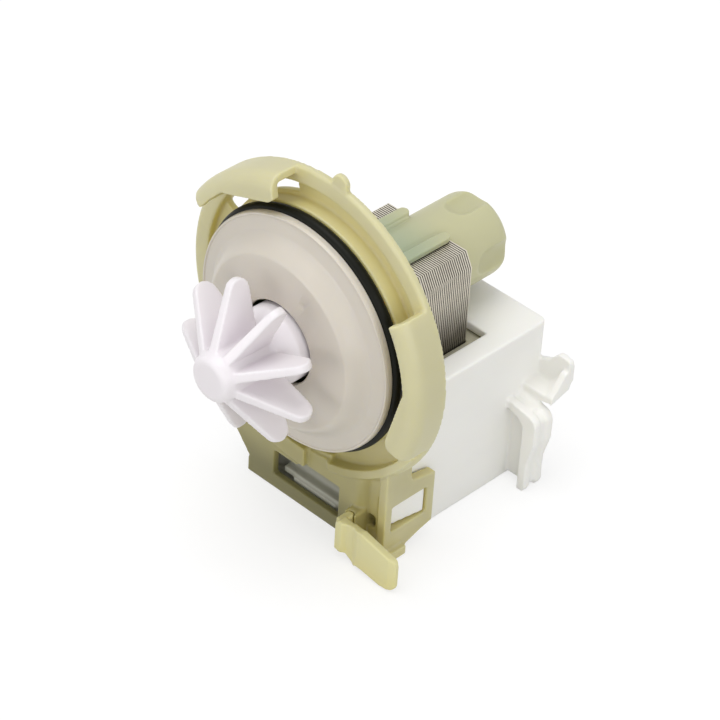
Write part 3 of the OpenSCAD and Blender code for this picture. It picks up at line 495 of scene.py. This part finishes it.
# forms on the block that the CAD leaves out: prisms along Y, outlined in X and Z, in mm
blockForms = [
    # wedge at the cable pocket
    {"start": 54.4, "end": 58.5,
     "outline": [(23.6, -29.3), (33.0, -29.3), (32.2, -30.4), (23.6, -32.4)]},
    # low strip beside the front tongue: a sheet that closes the gap, so painted shade shows there
    # in place of the bright floor
    {"start": 7.8, "end": 12.5,
     "outline": [(-13.5, -54.7), (-5.0, -54.7), (-5.0, -53.4), (-13.5, -53.4)]},
    # fillet in the corner of the cable pocket, growing towards its end
    {"start": 54.7, "end": 60.2,
     "outline": [(32.2, -28.7), (31.2, -28.7), (32.2, -27.9)],
     "endOutline": [(32.2, -28.7), (27.8, -28.7), (32.2, -24.2)]},
]

# mouldings copied from the frame and rounded: voxel in mm, smoothing passes, share of faces kept
mouldings = {
    "housingMoulding": {"node": "flange_housing", "body": "housing", "slot": "housing",
                        "finish": "housing", "voxel": 0.32, "passes": 5, "keep": 0.3},
    "latchMoulding": {"node": "release_latch", "body": "latch", "slot": "latch",
                      "finish": "latch", "voxel": 0.25, "passes": 6, "keep": 0.6},
    "blockMoulding": {"node": "coil_cover", "body": "housing", "slot": "block",
                      "finish": "block", "voxel": 0.35, "passes": 5, "keep": 0.25,
                      "forms": blockForms},
    "baseMoulding": {"node": "coil_base", "body": "housing", "slot": "base",
                     "finish": "block", "voxel": 0.4, "passes": 2, "keep": 0.1},
    "canMoulding": {"node": "rotor_can", "body": "housing", "slot": "can",
                    "finish": "can", "voxel": 0.3, "passes": 3, "keep": 0.4},
    "leftBobbinMoulding": {"node": "left_bobbin", "body": "housing", "slot": "bobbin",
                           "finish": "bobbin", "voxel": 0.3, "passes": 1, "keep": 0.2},
    "rightBobbinMoulding": {"node": "right_bobbin", "body": "housing", "slot": "bobbin",
                            "finish": "bobbin", "voxel": 0.3, "passes": 1, "keep": 0.2},
}

for pieceName, v in mouldings.items():
    merged = mergedMesh(v["node"])
    for form in v.get("forms", []):
        addPrism(merged, **form)
    made = meshObject(pieceName, merged)
    softened(made, v["voxel"] * mm, v["passes"], v["keep"])
    finished(made, finishes[v["finish"]], mouldingAngle)
    placed(made, v["body"], v["slot"], v["node"])
    print("softened", pieceName, len(made.data.polygons), "faces")


coverValues = {"rimRadius": 30.0, "rimThick": 1.2, "rimEdge": 0.4, "stepRadius": 26.4,
               "slope": 1.3, "flatRadius": 21.5, "height": 5.6, "holeRadius": 10.6,
               "wall": 1.6, "skirtRadius": 27.4, "skirtWall": 1.5, "skirtEnd": 7.58,
               "grooveRadius": 28.1, "grooveEnd": 4.22, "gateRadius": 2.2,
               "gatePlace": (7.3, -7.5, 14.5), "lipWidth": 0.8, "lipHeight": 0.22,
               "lipStart": 1.3, "lipSlope": 0.2, "edgeRound": 0.2, "rimRound": 0.25,
               "holeRound": 0.5, "cornerRound": 0.3, "grooveRound": 0.1, "skirtStart": 1,
               "segments": 192, "steps": 16, "gateSegments": 48, "gateRings": 24,
               "smoothAngle": 50}


def coverOutline(v):
    # rim, step, flat middle and skirt, as (radius, place along the shaft, corner radius)
    def slope(t):
        return -v["slope"] - (v["height"] - v["slope"]) * t * t * (3 - 2 * t)

    fall = v["flatRadius"] - v["stepRadius"]
    ts = [i / v["steps"] for i in range(v["steps"] + 1)]
    front = [(v["stepRadius"] + fall * t, slope(t), 0) for t in ts]
    back = [(v["stepRadius"] - v["wall"] + fall * t, slope(t) + v["wall"], 0)
            for t in reversed(ts)]
    inner = v["skirtRadius"] - v["skirtWall"]
    lip, low = v["rimRadius"] - v["lipWidth"], v["rimEdge"] * v["lipStart"]
    edge, corner = v["edgeRound"], v["cornerRound"]
    rim = [(v["rimRadius"], v["rimThick"], edge), (v["rimRadius"], 0, v["rimRound"]),
           (v["rimRadius"] - v["rimEdge"] / 2, -low - v["lipHeight"], edge),
           (lip + v["lipSlope"], -low - v["lipHeight"], edge), (lip, -low, edge)]
    hole = [(v["holeRadius"], -v["height"], v["holeRound"]),
            (v["holeRadius"], v["wall"] - v["height"], corner)]
    skirt = [(inner, v["skirtStart"], 0), (inner, v["skirtEnd"], corner),
             (v["skirtRadius"], v["skirtEnd"], corner), (v["skirtRadius"], v["grooveEnd"], 0),
             (v["grooveRadius"], v["grooveEnd"], v["grooveRound"]),
             (v["grooveRadius"], v["rimThick"], 0)]
    return rim + front + hole + back + skirt


v = coverValues
coverDisc = meshObject("coverDisc", lathe(rounded(coverOutline(v)), v["segments"]))
gateMesh = bmesh.new()    # the round dimple where the plastic came in
bmesh.ops.create_uvsphere(gateMesh, u_segments=v["gateSegments"], v_segments=v["gateRings"],
                          radius=v["gateRadius"] * mm)
gate = meshObject("gate", gateMesh)
gate.data.transform(Matrix.Translation([mm * part for part in v["gatePlace"]]))
combined(coverDisc, [gate], "DIFFERENCE")
finished(coverDisc, finishes["cover"], v["smoothAngle"])
placed(coverDisc, "housing", "cover", "wet_end_cover")
bpy.data.objects.remove(gate)
print("cover turned:", len(coverDisc.data.polygons), "faces")


# blades copied round the shaft, on a tapered hub with a bore, a cavity and the lug in it
impellerValues = {"blades": 9, "firstAngle": 24.1, "tipRadius": 20.4, "rearPlace": -11.7,
                  "tipRound": 3.0, "tipStart": -60, "tipSweep": 150, "tipSteps": 14,
                  "rootInset": 2.5, "rootFall": 2.2, "rootThick": 2.5, "tipThick": 2.0,
                  "noseRadius": 6.3, "nosePlace": -27.0, "noseEdge": 0.9, "noseFall": 2.6,
                  "noseRound": 2.0, "neckRise": 0.8, "neckRound": 1.5, "hubRadius": 9.7,
                  "hubShoulder": -7.4, "shoulderIn": 1.3, "shoulderRise": 2,
                  "slopeRound": 0.5, "shoulderRound": 0.8, "hubRear": 2.0,
                  "rearRound": 0.4, "roundSteps": 5,
                  "boreRadius": 2.05, "boreEnd": -21.3, "cavityRadius": 6.4,
                  "cavityPlace": -9.0, "lugRadius": 3.7, "lugSpan": 70, "lugEnd": 0.4,
                  "lugSteps": 12, "overlap": 1, "segments": 96, "boreSegments": 48,
                  "voxel": 0.3, "passes": 4, "keep": 0.5}


def roundTree():
    # copies the given mesh round the Y axis
    tree, given, step = geometryTree("roundTheShaft", [
        ("Count", "Int"), ("First angle", "Float"), ("Material", "Material")])
    points = step("GeometryNodePoints", None, {"Count": given.outputs["Count"]})
    index = step("GeometryNodeInputIndex")
    each = step("ShaderNodeMath", {"operation": "DIVIDE"},
                {0: 2 * math.pi, 1: given.outputs["Count"]})
    turn = step("ShaderNodeMath", {"operation": "MULTIPLY_ADD"},
                {0: index.outputs[0], 1: each.outputs[0], 2: given.outputs["First angle"]})
    back = step("ShaderNodeMath", {"operation": "MULTIPLY"}, {0: turn.outputs[0], 1: -1.0})
    angles = step("ShaderNodeCombineXYZ", None, {1: back.outputs[0]})
    copies = step("GeometryNodeInstanceOnPoints", None, {
        "Points": points.outputs[0], "Instance": given.outputs["Geometry"],
        "Rotation": angles.outputs[0]})
    closeTree(step, given, copies.outputs[0])
    return tree


def bladeMesh(v):
    # one blade in the plane of X and Y, thinner towards its tip
    nose, rear, tip = v["noseRadius"], v["rearPlace"], v["tipRound"]
    tipX, tipY = v["tipRadius"] - tip, rear - tip
    outline = [(nose - v["rootInset"], v["nosePlace"] + v["rootFall"]),
               (nose, v["nosePlace"] + v["noseFall"])]
    for i in range(v["tipSteps"] + 1):
        turn = math.radians(v["tipStart"] + v["tipSweep"] * i / v["tipSteps"])
        outline.append((tipX + tip * math.cos(turn), tipY + tip * math.sin(turn)))
    outline.append((nose - v["rootInset"], rear))
    bm = bmesh.new()
    sides = []
    for side in (-1, 1):
        row = []
        for x, y in outline:
            share = min(max((x - nose) / (v["tipRadius"] - nose), 0), 1)
            thick = v["rootThick"] + (v["tipThick"] - v["rootThick"]) * share
            row.append(bm.verts.new((x * mm, y * mm, side * thick / 2 * mm)))
        sides.append(row)
    bm.faces.new(sides[1])
    bm.faces.new(list(reversed(sides[0])))
    for i in range(len(outline)):
        j = (i + 1) % len(outline)
        bm.faces.new((sides[0][i], sides[0][j], sides[1][j], sides[1][i]))
    bmesh.ops.recalc_face_normals(bm, faces=bm.faces)
    return bm


v = impellerValues
blades = meshObject("impellerBlades", bladeMesh(v))
runTree(blades, roundTree(), {"Count": v["blades"], "First angle": math.radians(v["firstAngle"]),
                              "Material": finishes["impeller"]})
nose, shoulder = v["noseRadius"], v["hubShoulder"]
hubOutline = rounded([    # radius, place along the shaft, corner radius
    (0, v["nosePlace"], 0), (nose - v["noseEdge"], v["nosePlace"], v["noseRound"]),
    (nose, v["nosePlace"] + v["noseFall"], v["noseRound"]),
    (nose, v["rearPlace"] - v["neckRise"], v["neckRound"]),
    (v["hubRadius"] - v["shoulderIn"], shoulder - v["shoulderRise"], v["slopeRound"]),
    (v["hubRadius"], shoulder, v["shoulderRound"]),
    (v["hubRadius"], v["hubRear"], v["rearRound"]), (0, v["hubRear"], 0)], v["roundSteps"])
impellerPiece = meshObject("impellerHub", lathe(hubOutline, v["segments"]))
finished(blades, finishes["impeller"])
combined(impellerPiece, [blades])
finished(impellerPiece, finishes["impeller"])
bore = plug("bore", v["boreRadius"], v["boreEnd"], v["cavityPlace"] + v["overlap"],
            v["boreSegments"])
lugMesh = bmesh.new()
turns = [math.radians(v["lugSpan"] * (i / v["lugSteps"] - 0.5))
         for i in range(v["lugSteps"] + 1)]
lugOutside = v["cavityRadius"] + v["overlap"]
addPrism(lugMesh, v["cavityPlace"] - v["overlap"], v["lugEnd"],
         [(v["lugRadius"] * math.cos(turn), v["lugRadius"] * math.sin(turn)) for turn in turns]
         + [(lugOutside * math.cos(turn), lugOutside * math.sin(turn))
            for turn in reversed(turns)])
lug = meshObject("lug", lugMesh)
cavity = plug("cavity", v["cavityRadius"], v["cavityPlace"], v["hubRear"] + v["overlap"],
              v["segments"])
combined(impellerPiece, [bore, cavity], "DIFFERENCE")
combined(impellerPiece, [lug])
impellerPiece.name = "impellerMoulding"
softened(impellerPiece, v["voxel"] * mm, v["passes"], v["keep"])
finished(impellerPiece, finishes["impeller"], mouldingAngle)
placed(impellerPiece, "impeller", "impeller", "impeller")
for spent in (blades, bore, cavity, lug):
    bpy.data.objects.remove(spent)
print("impeller made:", len(impellerPiece.data.polygons), "faces")


# the laminated core: one sheet repeated along the shaft
coreValues = {"sheets": 38, "pitch": 0.6576, "thick": 0.37, "front": 18.3, "halfWidth": 14.7,
              "topZ": 9.5, "chamferX": 2.0, "chamferZ": 3.8, "poleRadius": 11.1, "gapX": 2.3,
              "footZ": -12.8, "legX": 6.7, "yokeTop": -44.5, "yokeLow": -52.9,
              "shift": 0.035, "seed": 4, "poleSteps": 18, "smoothAngle": 20}


def sheetMesh(v):
    # one flat sheet that faces along Y, the way it is given its thickness
    top = math.asin(v["topZ"] / v["poleRadius"])
    low = -math.acos(v["gapX"] / v["poleRadius"])
    right = [(v["halfWidth"], v["yokeLow"]), (v["halfWidth"], v["topZ"] - v["chamferZ"]),
             (v["halfWidth"] - v["chamferX"], v["topZ"])]
    for i in range(v["poleSteps"] + 1):
        turn = top + (low - top) * i / v["poleSteps"]
        right.append((v["poleRadius"] * math.cos(turn), v["poleRadius"] * math.sin(turn)))
    right += [(v["gapX"], v["footZ"]), (v["legX"], v["footZ"]), (v["legX"], v["yokeTop"])]
    outline = right + [(-x, z) for x, z in reversed(right)]
    bm = bmesh.new()
    bm.faces.new([bm.verts.new((x * mm, 0, z * mm)) for x, z in outline])
    bm.normal_update()
    if next(iter(bm.faces)).normal.y < 0:
        bmesh.ops.reverse_faces(bm, faces=bm.faces)
    return bm


def stackTree():
    # a stack of the given flat sheet along Y, each sheet a little out of line
    tree, given, step = geometryTree("sheetStack", [
        ("Sheets", "Int"), ("Pitch", "Float"), ("Thickness", "Float"), ("Front", "Float"),
        ("Shift", "Float"), ("Seed", "Int"), ("Material", "Material")])
    thick = step("GeometryNodeExtrudeMesh", {"mode": "FACES"}, {
        "Mesh": given.outputs["Geometry"], "Offset Scale": given.outputs["Thickness"],
        "Individual": False})
    under = step("GeometryNodeFlipFaces", None, {0: given.outputs["Geometry"]})
    sheet = step("GeometryNodeJoinGeometry")
    tree.links.new(thick.outputs[0], sheet.inputs[0])
    tree.links.new(under.outputs[0], sheet.inputs[0])
    gapShadeShare = step("GeometryNodeMergeByDistance", None, {0: sheet.outputs[0], "Distance": 1e-6})
    start = step("ShaderNodeCombineXYZ", None, {1: given.outputs["Front"]})
    offset = step("ShaderNodeCombineXYZ", None, {1: given.outputs["Pitch"]})
    line = step("GeometryNodeMeshLine", None, {
        "Count": given.outputs["Sheets"], "Start Location": start.outputs[0],
        "Offset": offset.outputs[0]})
    copies = step("GeometryNodeInstanceOnPoints", None, {
        "Points": line.outputs[0], "Instance": gapShadeShare.outputs[0]})
    low = step("ShaderNodeMath", {"operation": "MULTIPLY"}, {0: given.outputs["Shift"], 1: -1.0})
    least = step("ShaderNodeCombineXYZ", None, {0: low.outputs[0], 2: low.outputs[0]})
    aside = step("FunctionNodeRandomValue", {"data_type": "FLOAT_VECTOR"}, {
        0: least.outputs[0], 1: (0, 0, 0), "Seed": given.outputs["Seed"]})
    moved = step("GeometryNodeTranslateInstances", None, {
        "Instances": copies.outputs[0], "Translation": aside.outputs[0]})
    closeTree(step, given, moved.outputs[0])
    return tree


v = coreValues
coreStack = meshObject("coreStack", sheetMesh(v))
runTree(coreStack, stackTree(), {
    "Sheets": v["sheets"], "Pitch": v["pitch"] * mm, "Thickness": v["thick"] * mm,
    "Front": v["front"] * mm, "Shift": v["shift"] * mm, "Seed": v["seed"],
    "Material": finishes["sheet"]})
finished(coreStack, finishes["sheet"], v["smoothAngle"])
placed(coreStack, "housing", "laminations", "stator_core")
print("core stacked:", len(coreStack.data.polygons), "faces")


# the CAD nodes that stay, and their finish
keptFinishes = {
    "seal_ring": "seal", "rotor_shaft": "shaft", "rotor_magnet": "magnet",
    "rotor_sleeve": "dark", "drive_dog": "dark", "drive_damper": "rubber",
    "thrust_washers": "washer", "front_bearing": "bearing", "rear_bearing": "bearing",
    "front_bearing_carrier": "carrier", "rear_bearing_seat": "rubber",
    "impeller_rear_cap": "impeller", "left_winding": "winding", "right_winding": "winding",
    "terminal_tabs": "tab", "thermal_fuse": "fuse", "coil_leads": "lead",
}
for nodeName, finish in keptFinishes.items():
    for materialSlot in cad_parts[nodeName].material_slots:
        materialSlot.material = finishes[finish]


floorValues = {"height": -55.05, "size": 4.0, "seen": (160, 160, 160), "glow": 0.68,
               "bounce": (196, 196, 192)}

floorMesh = bmesh.new()
bmesh.ops.create_grid(floorMesh, x_segments=2, y_segments=2, size=floorValues["size"] / 2)
floor = meshObject("floor", floorMesh)
floor.data.transform(Matrix.Translation((0, 0, floorValues["height"] * mm)))
paper = Shading(bpy.data.materials.new("paleFloor"))
matte = paper.node("ShaderNodeBsdfDiffuse", None, {"Color": tint(*floorValues["seen"])})
dim = paper.node("ShaderNodeBsdfDiffuse", None, {"Color": tint(*floorValues["bounce"])})
glow = paper.node("ShaderNodeEmission", None, {"Color": (1, 1, 1, 1),
                                               "Strength": floorValues["glow"]})
both = paper.node("ShaderNodeAddShader", None, {0: matte, 1: glow})
paperShader = paper.node("ShaderNodeMixShader", None, {
    0: paper.rays("Is Camera Ray", "Is Glossy Ray"), 1: dim, 2: both})
paper.node("ShaderNodeOutputMaterial", None, {"Surface": paperShader})
floor.data.materials.append(paper.owner)

# the world is white where it is seen, and plain light elsewhere
studioValues = {"seen": 1.0, "light": 0.76}

sky = Shading(bpy.data.worlds.new("studio"))
scene.world = sky.owner
level = sky.node("ShaderNodeMapRange", None, {
    "Value": sky.rays("Is Camera Ray", "Is Glossy Ray", "Is Transmission Ray"),
    "To Min": studioValues["light"], "To Max": studioValues["seen"]})
background = sky.node("ShaderNodeBackground", None, {"Strength": level})
sky.node("ShaderNodeOutputWorld", None, {"Surface": background})

lampValues = {
    "topLight": {"place": (-0.15, -0.1, 1.1), "target": (0, 0.02, 0), "power": 5.4,
                 "size": 0.8},
    "rightFill": {"place": (1.05, -0.42, 0.22), "target": (0, 0.02, 0), "power": 4.6,
                  "size": 0.9},
    "frontFill": {"place": (-0.2, -1.1, 0.05), "target": (0, 0.02, -0.01), "power": 4.2,
                  "size": 0.8},
}
for lampName, v in lampValues.items():
    lamp = bpy.data.lights.new(lampName, "AREA")
    lamp.shape, lamp.size, lamp.energy = "SQUARE", v["size"], v["power"]
    softbox = bpy.data.objects.new(lampName, lamp)
    scene.collection.objects.link(softbox)
    softbox.location = v["place"]
    aim = Vector(v["target"]) - Vector(v["place"])
    softbox.rotation_euler = aim.to_track_quat("-Z", "Y").to_euler()
print("floor and light set:", len(lampValues), "lamps")

# the camera's own axes, its distance from the origin, and how far it stands off them in mm
cameraValues = {"lens": 160, "sensor": 36, "near": 0.05, "far": 20, "distance": 728.52,
                "right": (0.7100, 0.7024, 0.0516), "up": (-0.4594, 0.4063, 0.7900),
                "back": (0.5339, -0.5845, 0.6111), "aside": 14.916, "down": 6.227}
v = cameraValues
lens = bpy.data.cameras.new("camera")
lens.lens, lens.sensor_width = v["lens"], v["sensor"]
lens.clip_start, lens.clip_end = v["near"], v["far"]
camera = bpy.data.objects.new("camera", lens)
scene.collection.objects.link(camera)
right, up, back = (Vector(v[key]) for key in ("right", "up", "back"))
centre = (back * v["distance"] + right * v["aside"] - up * v["down"]) * mm
camera.matrix_world = Matrix.Translation(centre) @ Matrix((right, up, back)).transposed().to_4x4()
scene.camera = camera
